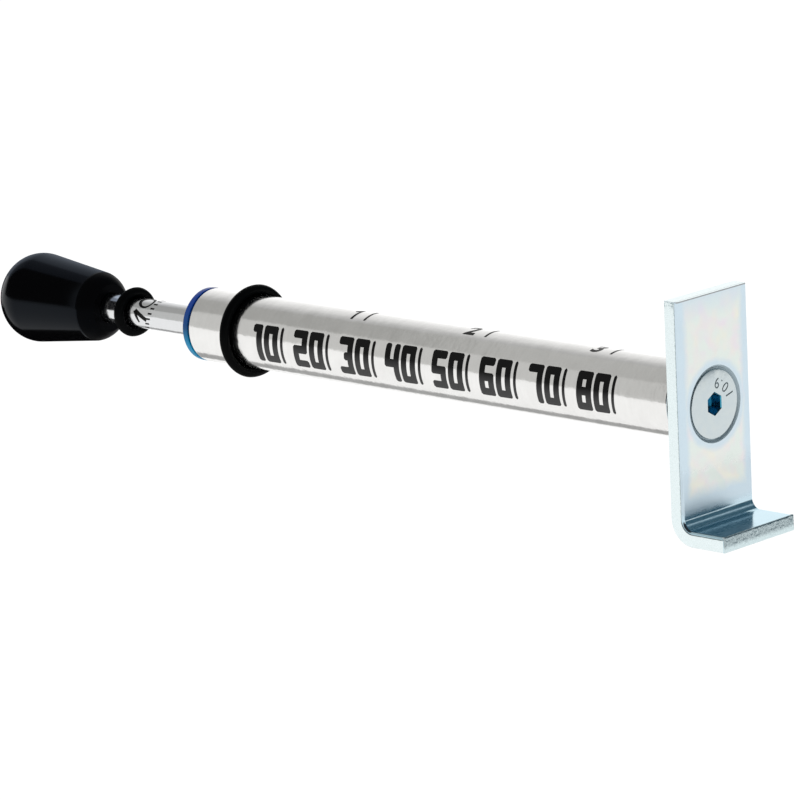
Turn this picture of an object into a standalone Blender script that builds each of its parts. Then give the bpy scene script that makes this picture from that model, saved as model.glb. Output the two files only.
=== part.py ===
"""Belt tension gauge: a sprung push rod in a tube, with a hook bracket on the tube's end.

The plunger is pushed into the barrel against a spring until the small ring meets the bush,
and the large ring on the barrel marks how far the belt has moved. Metres, +Z up.
+X runs along the barrel towards the bracket, and the origin lies on the bracket's belt
face, on its centre line, below the screw.
"""

import math

import bmesh
import bpy

MM = 0.001

# Clearance between neighbours that touch on the real gauge
FIT_GAP = 0.3 * MM

# Points closer than this on a turned outline are one point
MERGE_DISTANCE = 0.003 * MM

# Height of the barrel's axis above the origin
AXIS_HEIGHT = 10.5 * MM

# Hook bracket, bent from flat strip
STRIP_THICKNESS = 2.5 * MM
STRIP_WIDTH = 16.6 * MM
PLATE_ABOVE_AXIS = 17.3 * MM
FOOT_BELOW_AXIS = 18.0 * MM
FOOT_REACH = 8.0 * MM
BEND_INNER_RADIUS = 1.6 * MM
STRIP_EDGE_BEVEL = 0.2 * MM

# Countersunk socket screw that holds the bracket
SCREW_DIAMETER = 5.0 * MM
SCREW_LENGTH = 12.0 * MM
SCREW_HEAD_DIAMETER = 10.2 * MM
SCREW_HEAD_RIM = 0.1 * MM
SCREW_HEAD_RECESS = 0.1 * MM
SCREW_TIP_CHAMFER = 0.6 * MM
COUNTERSINK_MARGIN = 0.6 * MM
HEX_ACROSS_FLATS = 3.0 * MM
HEX_DEPTH = 1.9 * MM

# Barrel, whose bore is as wide as the spring needs
BARREL_WALL = 1.0 * MM
BARREL_LENGTH = 101.4 * MM
BARREL_EDGE_CHAMFER = 0.25 * MM

# Threaded plug in the bracket end of the barrel
PLUG_FLANGE_THICKNESS = 1.8 * MM
PLUG_FLANGE_INSET = 0.2 * MM
PLUG_DEPTH = 12.4 * MM
PLUG_NOSE_CHAMFER = 0.6 * MM

# Guide bush in the open end of the barrel
BUSH_FLANGE_THICKNESS = 1.2 * MM
BUSH_FLANGE_INSET = 0.1 * MM
BUSH_FLANGE_ROUNDING = 0.6 * MM
BUSH_DEPTH = 9.0 * MM
BUSH_MOUTH_CHAMFER = 0.4 * MM

# Push rod
ROD_DIAMETER = 5.0 * MM
ROD_SHOWN = 22.6 * MM
ROD_IN_KNOB = 12.0 * MM
ROD_END_CHAMFER = 0.5 * MM
SPIGOT_STEP = 0.5 * MM
SPIGOT_TAIL = 1.2 * MM
CLIP_GROOVE_DEPTH = 0.4 * MM

# Spring follower and its stop washer on the rod's inner end
STOP_WASHER_THICKNESS = 0.8 * MM
FOLLOWER_DISC_THICKNESS = 2.0 * MM
FOLLOWER_HUB_LENGTH = 5.0 * MM
FOLLOWER_HUB_WALL = 0.6 * MM
CLIP_THICKNESS = 0.8 * MM
CLIP_MOUTH_SHARE = 0.75

# Compression spring round the follower's hub, and the washer it stands on
SPRING_HUB_GAP = 0.4 * MM
SPRING_BORE_GAP = 0.5 * MM
SPRING_WIRE_DIAMETER = 1.2 * MM
SPRING_TURNS = 20
SPRING_CLOSED_TURNS = 1
SPRING_CLOSED_GAP = 0.45 * MM
SEAT_WASHER_THICKNESS = 0.8 * MM

# Knob, with the threaded insert moulded into it
KNOB_DIAMETER = 15.0 * MM
KNOB_TAPER_LENGTH = 16.2 * MM
KNOB_DOME_DEPTH = 6.8 * MM
KNOB_TAPER = math.radians(7.3)
KNOB_NOSE_LENGTH = 2.6 * MM
KNOB_NOSE_BULGE = 0.3 * MM
KNOB_FACE_DIAMETER = 8.0 * MM
INSERT_WALL = 1.1 * MM
INSERT_LENGTH = 11.5 * MM
INSERT_COVER = 1.2 * MM
INSERT_WAIST_DEPTH = 0.4 * MM
INSERT_WAIST_LENGTH = 3.0 * MM

# Marker rings, with room for a small ring that sits a little askew
RING_SECTION = 1.3 * MM
RING_LEAN = 0.5 * MM
PLUNGER_TRAVEL = 15.4 * MM
DEFLECTION_RING_SETBACK = 9.35 * MM

# Facets round the pieces that show, round those inside, and along their curves
OUTER_SEGMENTS = 48
INNER_SEGMENTS = 32
SECTION_SEGMENTS = 10
ARC_SEGMENTS = 6
DOME_SEGMENTS = 9
COIL_SEGMENTS = 10

# Places along the barrel's axis, from the belt face back to the knob
plate_back = -STRIP_THICKNESS
plug_face = plate_back - FIT_GAP
plug_shoulder = plug_face - PLUG_FLANGE_THICKNESS
plug_nose = plug_shoulder - PLUG_DEPTH
barrel_end = plug_shoulder - FIT_GAP
barrel_mouth = barrel_end - BARREL_LENGTH
bush_shoulder = barrel_mouth - FIT_GAP
bush_face = bush_shoulder - BUSH_FLANGE_THICKNESS
bush_nose = bush_shoulder + BUSH_DEPTH
stop_washer_back = bush_nose + FIT_GAP
follower_back = stop_washer_back + STOP_WASHER_THICKNESS + FIT_GAP
follower_face = follower_back + FOLLOWER_DISC_THICKNESS
hub_end = follower_face + FOLLOWER_HUB_LENGTH
clip_back = hub_end + FIT_GAP
rod_shoulder = follower_back - FIT_GAP
rod_end = clip_back + CLIP_THICKNESS + FIT_GAP + SPIGOT_TAIL
seat_washer_front = plug_nose - FIT_GAP
seat_washer_back = seat_washer_front - SEAT_WASHER_THICKNESS
knob_face = bush_face - ROD_SHOWN
rod_start = knob_face - ROD_IN_KNOB
insert_front = knob_face - INSERT_COVER
insert_back = insert_front - INSERT_LENGTH
force_ring_middle = bush_face - FIT_GAP - PLUNGER_TRAVEL - RING_LEAN - RING_SECTION / 2
deflection_ring_middle = barrel_mouth + DEFLECTION_RING_SETBACK

# Radii, from the rod out to the barrel
rod_radius = ROD_DIAMETER / 2
rod_hole_radius = rod_radius + FIT_GAP
spigot_radius = rod_radius - SPIGOT_STEP
spigot_hole_radius = spigot_radius + FIT_GAP
groove_radius = spigot_radius - CLIP_GROOVE_DEPTH
hub_radius = spigot_hole_radius + FOLLOWER_HUB_WALL
spring_inner_radius = hub_radius + SPRING_HUB_GAP
clip_radius = spring_inner_radius - FIT_GAP
coil_radius = spring_inner_radius + SPRING_WIRE_DIAMETER / 2
bore_radius = spring_inner_radius + SPRING_WIRE_DIAMETER + SPRING_BORE_GAP
inner_piece_radius = bore_radius - FIT_GAP
barrel_radius = bore_radius + BARREL_WALL
insert_radius = rod_hole_radius + INSERT_WALL

# The screw's head lies in one cone, which runs through the plate into the plug's mouth
screw_radius = SCREW_DIAMETER / 2
screw_hole_radius = screw_radius + FIT_GAP
screw_head_radius = SCREW_HEAD_DIAMETER / 2
countersink_radius = screw_head_radius + COUNTERSINK_MARGIN
plate_hole_radius = max(screw_hole_radius, countersink_radius + plate_back)
plug_mouth_radius = max(screw_hole_radius, countersink_radius + plug_face)


def clear_scene():
    """Remove every object, so that the model starts from nothing."""
    for old in list(bpy.data.objects):
        bpy.data.objects.remove(old, do_unlink=True)


def finish(name, colour, roughness, metallic):
    """A plain Principled material."""
    material = bpy.data.materials.new(name)
    material.use_nodes = True
    shader = material.node_tree.nodes["Principled BSDF"]
    shader.inputs["Base Color"].default_value = (*colour, 1.0)
    shader.inputs["Roughness"].default_value = roughness
    shader.inputs["Metallic"].default_value = metallic
    return material


def add_piece(name, bm, material, parent=None, at=(0, 0, 0)):
    """Make an object from a bmesh that is drawn about the piece's own origin."""
    bmesh.ops.recalc_face_normals(bm, faces=bm.faces[:])
    mesh = bpy.data.meshes.new(name)
    bm.to_mesh(mesh)
    bm.free()
    mesh.shade_smooth()
    mesh.set_sharp_from_angle(angle=math.radians(30))
    piece = bpy.data.objects.new(name, mesh)
    piece.data.materials.append(material)
    bpy.context.collection.objects.link(piece)
    piece.parent = parent
    piece.location = at
    return piece


def add_empty(name, at, parent=None):
    """A guide that holds pieces which move together, with its origin on the axis."""
    empty = bpy.data.objects.new(name, None)
    bpy.context.collection.objects.link(empty)
    empty.parent = parent
    empty.location = at
    return empty


def arc(centre, radius, start, end, steps=ARC_SEGMENTS):
    """Points (x, r) round a centre, from one angle to another."""
    turns = [start + (end - start) * step / steps for step in range(steps + 1)]
    return [(centre[0] + radius * math.cos(t), centre[1] + radius * math.sin(t)) for t in turns]


def turned(outline, segments=OUTER_SEGMENTS):
    """Spin a closed outline of (x, r) points about the X axis."""
    bm = bmesh.new()
    points = [bm.verts.new((x, 0, r)) for x, r in outline]
    edges = [bm.edges.new((points[i - 1], points[i])) for i in range(len(points))]
    bmesh.ops.spin(bm, geom=points + edges, cent=(0, 0, 0), axis=(1, 0, 0),
                   angle=math.tau, steps=segments, use_merge=True)
    bmesh.ops.remove_doubles(bm, verts=bm.verts[:], dist=MERGE_DISTANCE)
    bmesh.ops.dissolve_degenerate(bm, edges=bm.edges[:], dist=MERGE_DISTANCE / 10)
    loose = [edge for edge in bm.edges if not edge.link_faces]
    bmesh.ops.delete(bm, geom=loose, context="EDGES")
    return bm


def extruded(outline, lift, depth):
    """Lift a flat outline to 3-D with a function and extrude it along a vector."""
    bm = bmesh.new()
    face = bm.faces.new([bm.verts.new(lift(*point)) for point in outline])
    swept = bmesh.ops.extrude_face_region(bm, geom=[face])
    moved = [item for item in swept["geom"] if isinstance(item, bmesh.types.BMVert)]
    bmesh.ops.translate(bm, verts=moved, vec=depth)
    return bm


def ring(inner_radius):
    """A round-section ring about the X axis, centred on its own origin."""
    section = RING_SECTION / 2
    circle = arc((0, inner_radius + section), section, 0, math.tau, SECTION_SEGMENTS)
    return turned(circle[:-1])


def washer(back, thickness, hole_radius, outer_radius):
    """A flat washer on the X axis."""
    front = back + thickness
    outline = [(back, hole_radius), (front, hole_radius), (front, outer_radius), (back, outer_radius)]
    return turned(outline, INNER_SEGMENTS)


def cut(piece, bm, name):
    """Cut a piece with a hidden cutter, by an exact Boolean."""
    bmesh.ops.recalc_face_normals(bm, faces=bm.faces[:])
    mesh = bpy.data.meshes.new(name)
    bm.to_mesh(mesh)
    bm.free()
    cutter = bpy.data.objects.new(name, mesh)
    bpy.context.collection.objects.link(cutter)
    cutter.parent = piece.parent
    cutter.location = piece.location
    cutter.hide_render = True
    cutter.display_type = "WIRE"
    boolean = piece.modifiers.new(name, "BOOLEAN")
    boolean.operation = "DIFFERENCE"
    boolean.solver = "EXACT"
    boolean.object = cutter


def make_barrel(axis, material):
    chamfer = BARREL_EDGE_CHAMFER
    outline = [
        (barrel_mouth, bore_radius),
        (barrel_mouth, barrel_radius - chamfer),
        (barrel_mouth + chamfer, barrel_radius),
        (barrel_end - chamfer, barrel_radius),
        (barrel_end, barrel_radius - chamfer),
        (barrel_end, bore_radius),
    ]
    return add_piece("barrel", turned(outline), material, axis)


def make_guide_bush(axis, material):
    flange_radius = barrel_radius - BUSH_FLANGE_INSET
    rounding = BUSH_FLANGE_ROUNDING
    mouth = BUSH_MOUTH_CHAMFER
    rim = arc((bush_face + rounding, flange_radius - rounding), rounding, math.pi, math.pi / 2)
    outline = [(bush_face + mouth, rod_hole_radius), (bush_face, rod_hole_radius + mouth)]
    outline += rim
    outline += [
        (bush_shoulder, flange_radius),
        (bush_shoulder, inner_piece_radius),
        (bush_nose - mouth, inner_piece_radius),
        (bush_nose, inner_piece_radius - mouth),
        (bush_nose, rod_hole_radius),
    ]
    return add_piece("guide_bush", turned(outline), material, axis)


def make_end_plug(axis, material):
    flange_radius = barrel_radius - PLUG_FLANGE_INSET
    chamfer = PLUG_NOSE_CHAMFER
    outline = [
        (plug_face, plug_mouth_radius),
        (plug_face, flange_radius),
        (plug_shoulder, flange_radius),
        (plug_shoulder, inner_piece_radius),
        (plug_nose + chamfer, inner_piece_radius),
        (plug_nose, inner_piece_radius - chamfer),
        (plug_nose, screw_hole_radius),
        (plug_face - (plug_mouth_radius - screw_hole_radius), screw_hole_radius),
    ]
    return add_piece("end_plug", turned(outline), material, axis)


def make_hook_bracket(axis, material):
    """An L of bent strip: a plate behind the belt and a foot under its edge."""
    inner = BEND_INNER_RADIUS
    outer = inner + STRIP_THICKNESS
    foot_top = -FOOT_BELOW_AXIS
    foot_under = foot_top - STRIP_THICKNESS
    centre = (inner, foot_top + inner)
    outline = [(0, PLATE_ABOVE_AXIS)]
    outline += arc(centre, inner, math.pi, 1.5 * math.pi)
    outline += [(FOOT_REACH, foot_top), (FOOT_REACH, foot_under)]
    outline += arc(centre, outer, 1.5 * math.pi, math.pi)
    outline += [(plate_back, PLATE_ABOVE_AXIS)]
    side = -STRIP_WIDTH / 2
    bm = extruded(outline, lambda x, z: (x, side, z), (0, STRIP_WIDTH, 0))
    piece = add_piece("hook_bracket", bm, material, axis)
    bevel = piece.modifiers.new("edge_bevel", "BEVEL")
    bevel.width = STRIP_EDGE_BEVEL
    bevel.segments = 1
    bevel.limit_method = "ANGLE"
    bevel.angle_limit = math.radians(60)
    overrun = STRIP_THICKNESS
    outline = [
        (overrun, 0),
        (overrun, countersink_radius),
        (0, countersink_radius),
        (plate_hole_radius - countersink_radius, plate_hole_radius),
        (plate_back - overrun, plate_hole_radius),
        (plate_back - overrun, 0),
    ]
    cut(piece, turned(outline), "countersink")
    return piece


def make_bracket_screw(axis, material):
    top = -SCREW_HEAD_RECESS
    rim_foot = top - SCREW_HEAD_RIM
    cone_foot = rim_foot - (screw_head_radius - screw_radius)
    tip = top - SCREW_LENGTH
    outline = [
        (top, 0),
        (top, screw_head_radius),
        (rim_foot, screw_head_radius),
        (cone_foot, screw_radius),
        (tip + SCREW_TIP_CHAMFER, screw_radius),
        (tip, screw_radius - SCREW_TIP_CHAMFER),
        (tip, 0),
    ]
    piece = add_piece("bracket_screw", turned(outline), material, axis)
    corner = HEX_ACROSS_FLATS / math.sqrt(3)
    hexagon = [(corner * math.sin(k * math.pi / 3), corner * math.cos(k * math.pi / 3)) for k in range(6)]
    depth = (HEX_DEPTH + SCREW_LENGTH, 0, 0)
    cut(piece, extruded(hexagon, lambda y, z: (top - HEX_DEPTH, y, z), depth), "hex_socket")
    return piece


def make_plunger_rod(axis, material):
    chamfer = ROD_END_CHAMFER
    groove_start = clip_back - FIT_GAP
    groove_end = clip_back + CLIP_THICKNESS + FIT_GAP
    outline = [
        (rod_start, 0),
        (rod_start, rod_radius - chamfer),
        (rod_start + chamfer, rod_radius),
        (rod_shoulder, rod_radius),
        (rod_shoulder, spigot_radius),
        (groove_start, spigot_radius),
        (groove_start, groove_radius),
        (groove_end, groove_radius),
        (groove_end, spigot_radius),
        (rod_end - chamfer, spigot_radius),
        (rod_end, spigot_radius - chamfer),
        (rod_end, 0),
    ]
    return add_piece("plunger_rod", turned(outline), material, axis)


def make_spring_follower(axis, material):
    outline = [
        (follower_back, spigot_hole_radius),
        (follower_back, inner_piece_radius),
        (follower_face, inner_piece_radius),
        (follower_face, hub_radius),
        (hub_end, hub_radius),
        (hub_end, spigot_hole_radius),
    ]
    return add_piece("spring_follower", turned(outline, INNER_SEGMENTS), material, axis)


def make_retaining_clip(axis, material):
    """A snap ring in the rod's groove, open at its lower side."""
    mouth_half_angle = math.asin(CLIP_MOUTH_SHARE * spigot_radius / clip_radius)
    start = -math.pi / 2 + mouth_half_angle
    end = 1.5 * math.pi - mouth_half_angle
    outline = arc((0, 0), clip_radius, start, end, INNER_SEGMENTS // 2)
    outline += arc((0, 0), groove_radius + FIT_GAP, end, start, INNER_SEGMENTS // 2)
    bm = extruded(outline, lambda y, z: (clip_back, y, z), (CLIP_THICKNESS, 0, 0))
    return add_piece("retaining_clip", bm, material, axis)


def make_knob(axis, material):
    """A tapered knob with a domed end, hollow where the rod and its insert go in."""
    taper = math.tan(KNOB_TAPER)
    radius = KNOB_DIAMETER / 2
    middle = knob_face - KNOB_TAPER_LENGTH
    join = math.atan(taper * KNOB_DOME_DEPTH / radius)
    join_x = middle + KNOB_DOME_DEPTH * math.sin(join)
    join_radius = radius * math.cos(join)
    edge_x = knob_face - KNOB_NOSE_LENGTH
    edge_radius = join_radius - (edge_x - join_x) * taper
    narrowing = edge_radius - KNOB_FACE_DIAMETER / 2
    slant = math.hypot(KNOB_NOSE_LENGTH, narrowing)
    outline = [(insert_back - FIT_GAP, 0), (middle - KNOB_DOME_DEPTH, 0)]
    for step in range(1, DOME_SEGMENTS + 1):
        angle = math.pi / 2 - (math.pi / 2 + join) * step / DOME_SEGMENTS
        outline.append((middle - KNOB_DOME_DEPTH * math.sin(angle), radius * math.cos(angle)))
    for step in range(ARC_SEGMENTS + 1):
        share = step / ARC_SEGMENTS
        bulge = 4 * KNOB_NOSE_BULGE * share * (1 - share) / slant
        nose_x = edge_x + KNOB_NOSE_LENGTH * share + narrowing * bulge
        outline.append((nose_x, edge_radius - narrowing * share + KNOB_NOSE_LENGTH * bulge))
    pocket_radius = insert_radius + FIT_GAP
    outline += [
        (knob_face, rod_hole_radius),
        (insert_front + FIT_GAP, rod_hole_radius),
        (insert_front + FIT_GAP, pocket_radius),
        (insert_back - FIT_GAP, pocket_radius),
    ]
    return add_piece("knob", turned(outline), material, axis)


def make_knob_insert(axis, material):
    waist = insert_radius - INSERT_WAIST_DEPTH
    middle = (insert_front + insert_back) / 2
    waist_back = middle - INSERT_WAIST_LENGTH / 2
    waist_front = middle + INSERT_WAIST_LENGTH / 2
    outline = [
        (insert_back, rod_hole_radius),
        (insert_back, insert_radius),
        (waist_back, insert_radius),
        (waist_back, waist),
        (waist_front, waist),
        (waist_front, insert_radius),
        (insert_front, insert_radius),
        (insert_front, rod_hole_radius),
    ]
    return add_piece("knob_insert", turned(outline, INNER_SEGMENTS), material, axis)


def make_compression_spring(axis, material):
    """One helix of round wire with a closed turn at each end."""
    wire = SPRING_WIRE_DIAMETER / 2
    start = follower_face + FIT_GAP + wire
    end = seat_washer_back - FIT_GAP - wire
    closed_pitch = SPRING_WIRE_DIAMETER + SPRING_CLOSED_GAP
    open_turns = SPRING_TURNS - 2 * SPRING_CLOSED_TURNS
    open_pitch = (end - start - 2 * SPRING_CLOSED_TURNS * closed_pitch) / open_turns
    curve = bpy.data.curves.new("compression_spring", "CURVE")
    curve.dimensions = "3D"
    curve.bevel_depth = wire
    curve.bevel_resolution = 1
    curve.use_fill_caps = True
    helix = curve.splines.new("POLY")
    count = SPRING_TURNS * COIL_SEGMENTS
    helix.points.add(count)
    for i in range(count + 1):
        turn = i / COIL_SEGMENTS
        before = min(turn, SPRING_CLOSED_TURNS)
        after = max(0, turn - SPRING_CLOSED_TURNS - open_turns)
        x = start + (before + after) * closed_pitch + (turn - before - after) * open_pitch
        angle = turn * math.tau
        helix.points[i].co = (x, coil_radius * math.sin(angle), coil_radius * math.cos(angle), 1)
    spring = bpy.data.objects.new("compression_spring", curve)
    spring.data.materials.append(material)
    bpy.context.collection.objects.link(spring)
    spring.parent = axis
    return spring


def main():
    clear_scene()
    steel_tube = finish("steel_tube", (0.62, 0.60, 0.58), 0.28, 1.0)
    bright_steel = finish("bright_steel", (0.66, 0.67, 0.68), 0.22, 1.0)
    zinc_plate = finish("zinc_plate", (0.72, 0.78, 0.83), 0.30, 1.0)
    spring_steel = finish("spring_steel", (0.32, 0.33, 0.35), 0.35, 1.0)
    brass = finish("brass", (0.72, 0.53, 0.24), 0.32, 1.0)
    blue_bush = finish("blue_bush", (0.005, 0.13, 0.38), 0.35, 0.0)
    black_plug = finish("black_plug", (0.02, 0.02, 0.022), 0.45, 0.0)
    black_knob = finish("black_knob", (0.012, 0.012, 0.016), 0.15, 0.0)
    black_rubber = finish("black_rubber", (0.015, 0.015, 0.018), 0.45, 0.0)

    axis = add_empty("barrel_axis", (0, 0, AXIS_HEIGHT))
    follower_axis = add_empty("follower_axis", (0, 0, 0), axis)
    plunger_axis = add_empty("plunger_axis", (0, 0, 0), follower_axis)

    make_barrel(axis, steel_tube)
    make_guide_bush(axis, blue_bush)
    make_end_plug(axis, black_plug)
    make_hook_bracket(axis, zinc_plate)
    make_bracket_screw(axis, zinc_plate)
    make_compression_spring(axis, spring_steel)
    seat = washer(seat_washer_back, SEAT_WASHER_THICKNESS, screw_hole_radius, inner_piece_radius)
    add_piece("seat_washer", seat, bright_steel, axis)

    make_spring_follower(follower_axis, brass)
    stop = washer(stop_washer_back, STOP_WASHER_THICKNESS, rod_hole_radius, inner_piece_radius)
    add_piece("stop_washer", stop, bright_steel, follower_axis)

    make_plunger_rod(plunger_axis, bright_steel)
    make_retaining_clip(plunger_axis, spring_steel)
    make_knob(plunger_axis, black_knob)
    make_knob_insert(plunger_axis, brass)
    force_ring = ring(rod_hole_radius)
    add_piece("force_ring", force_ring, black_rubber, plunger_axis, (force_ring_middle, 0, 0))

    deflection_ring = ring(barrel_radius + FIT_GAP)
    add_piece("deflection_ring", deflection_ring, black_rubber, axis, (deflection_ring_middle, 0, 0))


main()
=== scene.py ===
"""Belt tension gauge: its looks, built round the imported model."""
import math
import bmesh
import bpy
from mathutils import Matrix, Vector, noise


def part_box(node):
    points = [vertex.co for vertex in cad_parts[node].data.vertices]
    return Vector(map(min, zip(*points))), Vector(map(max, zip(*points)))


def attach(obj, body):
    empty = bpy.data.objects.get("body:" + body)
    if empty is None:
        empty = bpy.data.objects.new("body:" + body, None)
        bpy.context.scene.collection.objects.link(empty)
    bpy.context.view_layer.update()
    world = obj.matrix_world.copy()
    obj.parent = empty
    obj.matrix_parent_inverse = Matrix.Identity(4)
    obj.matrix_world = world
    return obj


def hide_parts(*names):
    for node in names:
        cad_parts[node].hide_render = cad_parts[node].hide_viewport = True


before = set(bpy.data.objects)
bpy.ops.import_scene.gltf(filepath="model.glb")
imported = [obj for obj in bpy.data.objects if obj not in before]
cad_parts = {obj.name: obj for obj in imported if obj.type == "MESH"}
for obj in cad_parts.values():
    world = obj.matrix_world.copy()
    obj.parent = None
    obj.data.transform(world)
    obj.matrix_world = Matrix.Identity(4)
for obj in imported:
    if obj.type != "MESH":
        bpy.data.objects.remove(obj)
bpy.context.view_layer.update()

MM = 0.001


def reach(node, axis=0):
    """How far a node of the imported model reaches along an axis, in millimetres."""
    low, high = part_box(node)
    return low[axis] / MM, high[axis] / MM


def middle_of(node):
    return sum(reach(node)) / 2


# Lengths are in millimetres. The belt face is at X 0, and the turned pieces share one axis
AXIS_HEIGHT = 10.5
GAP = 0.3

# Barrel, and the pieces in its ends
BARREL_RADIUS = 6.0
BORE_RADIUS = 5.0
BARREL_MOUTH, BARREL_END = reach("barrel")
BARREL_EDGE = 0.22
BARREL_END_GAP = 0.02
INNER_PIECE_RADIUS = BORE_RADIUS - GAP
BUSH_FACE, BUSH_NOSE = reach("guide_bush")
BUSH_SHOULDER = BARREL_MOUTH - GAP
BUSH_FLANGE_RADIUS = 6.02
BUSH_FLANGE_ROUNDING = 0.4
BUSH_MOUTH_CHAMFER = 0.4
PLUG_NOSE, PLUG_FACE = reach("end_plug")
PLUG_SHOULDER = BARREL_END + GAP
PLUG_FLANGE_RADIUS = 5.6
PLUG_CHAMFER = 0.6

# Rod and knob
ROD_RADIUS = 2.5
ROD_HOLE_RADIUS = ROD_RADIUS + GAP
ROD_START, ROD_END = reach("plunger_rod")
ROD_SHOULDER = BUSH_NOSE + 1.4
ROD_CHAMFER = 0.5
SPIGOT_RADIUS = 2.0
GROOVE_RADIUS = 1.6
GROOVE_START = ROD_END - 2.6
GROOVE_END = ROD_END - 1.2
KNOB_FACE = reach("knob")[1]
KNOB_RADIUS = 7.5
KNOB_TAPER_LENGTH = 16.2
KNOB_DOME_DEPTH = 6.8
KNOB_TAPER = math.radians(7.3)
KNOB_NOSE_LENGTH = 2.6
KNOB_NOSE_BULGE = 0.3
KNOB_NOSE_EDGE = 0.16
KNOB_FACE_RADIUS = 4.0
KNOB_HOLE_RADIUS = ROD_RADIUS + 0.08
POCKET_RADIUS = 4.2
POCKET_START = KNOB_FACE - 13.0
POCKET_END = KNOB_FACE - 0.9

# Rubber rings, which grip what they lie on and sit a little askew
RING_RADIUS = 0.8
RING_FLASH = 0.035
RING_FLASH_WIDTH = 0.2
FORCE_RING_STATION = middle_of("force_ring")
FORCE_RING_LEAN = 0.139
DEFLECTION_RING_STATION = middle_of("deflection_ring")
DEFLECTION_RING_LEAN = 0.05

# Bracket strip
PLATE_TOP = reach("hook_bracket", 2)[1]
STRIP_THICKNESS = 2.5
FOOT_TOP = reach("hook_bracket", 2)[0] + STRIP_THICKNESS
FOOT_END = reach("hook_bracket")[1]
STRIP_HALF_WIDTH = reach("hook_bracket", 1)[1]
BEND_RADIUS = 1.6
ROLLED_EDGE = 0.42
SHEARED_EDGE = 0.16
CREASE_DEPTH = 0.5
CREASE_WIDTH = 0.09

# Countersunk screw
HEAD_RADIUS = 5.4
HEAD_FACE = -0.1
HEAD_RIM = 0.12
COUNTERSINK_RADIUS = 5.92
COUNTERSINK_EDGE = 0.1
GROOVE_DEPTH = 0.34
SEAT_CLEARANCE = 0.03
CUTTER_TOP = 3.0
CUTTER_FOOT = -5.0
SCREW_RADIUS = 2.5
SCREW_HOLE_RADIUS = SCREW_RADIUS + GAP
SCREW_TIP = -12.1
SCREW_TIP_CHAMFER = 0.6
HEX_ACROSS_FLATS = 3.0
HEX_DEPTH = 1.9
HEX_CHAMFER = 0.16

# Fineness
TURNED_SEGMENTS = 192
SECTION_SEGMENTS = 40
BEND_SEGMENTS = 28
ROUNDING_SEGMENTS = 6


class Signal:
    """A shader socket that can be used in sums."""

    def __init__(self, finish, socket):
        self.finish = finish
        self.socket = socket

    def sum(self, operation, first, second=0.0):
        return self.finish.node(
            "ShaderNodeMath", {"operation": operation}, {"Value": first, "Value_001": second}
        )

    def __add__(self, other):
        return self.sum("ADD", self, other)

    __radd__ = __add__

    def __sub__(self, other):
        return self.sum("SUBTRACT", self, other)

    def __rsub__(self, other):
        return self.sum("SUBTRACT", other, self)

    def __mul__(self, other):
        return self.sum("MULTIPLY", self, other)

    __rmul__ = __mul__

    def __truediv__(self, other):
        return self.sum("DIVIDE", self, other)

    def __rtruediv__(self, other):
        return self.sum("DIVIDE", other, self)

    def __pow__(self, other):
        return self.sum("POWER", self, other)

    def __abs__(self):
        return self.sum("ABSOLUTE", self)

    def most(self, other):
        return self.sum("MAXIMUM", self, other)


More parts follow.
